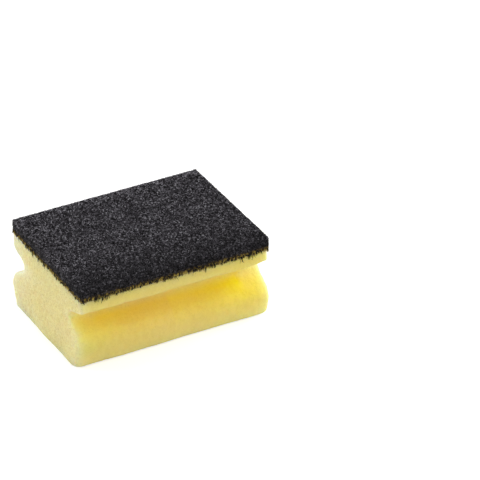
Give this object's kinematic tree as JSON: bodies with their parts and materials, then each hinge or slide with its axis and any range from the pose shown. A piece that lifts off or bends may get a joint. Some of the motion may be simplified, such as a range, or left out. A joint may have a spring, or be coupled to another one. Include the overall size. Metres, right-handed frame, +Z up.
{
  "type": "cleaning sponge",
  "caption": "Rectangular cleaning sponge: a foam block with a finger groove along each long side, and a thin scouring pad glued over its top.",
  "frame": {"origin": "the middle of the foam's base, on the surface that the sponge rests on", "axes": "+X along the sponge's length, +Y across it, +Z up towards the scouring pad"},
  "size_m": [0.0994, 0.07, 0.0428],
  "materials": {
    "foam": "matte, open-cell polyurethane foam, cut",
    "glue": "set laminating glue, cut through at the edges",
    "scouring_fleece": "matte, non-woven nylon fleece with grit"
  },
  "bodies": {
    "root": {"foam_body": "foam", "glue_film": "glue", "scouring_pad": "scouring_fleece"}
  },
  "joints": []
}
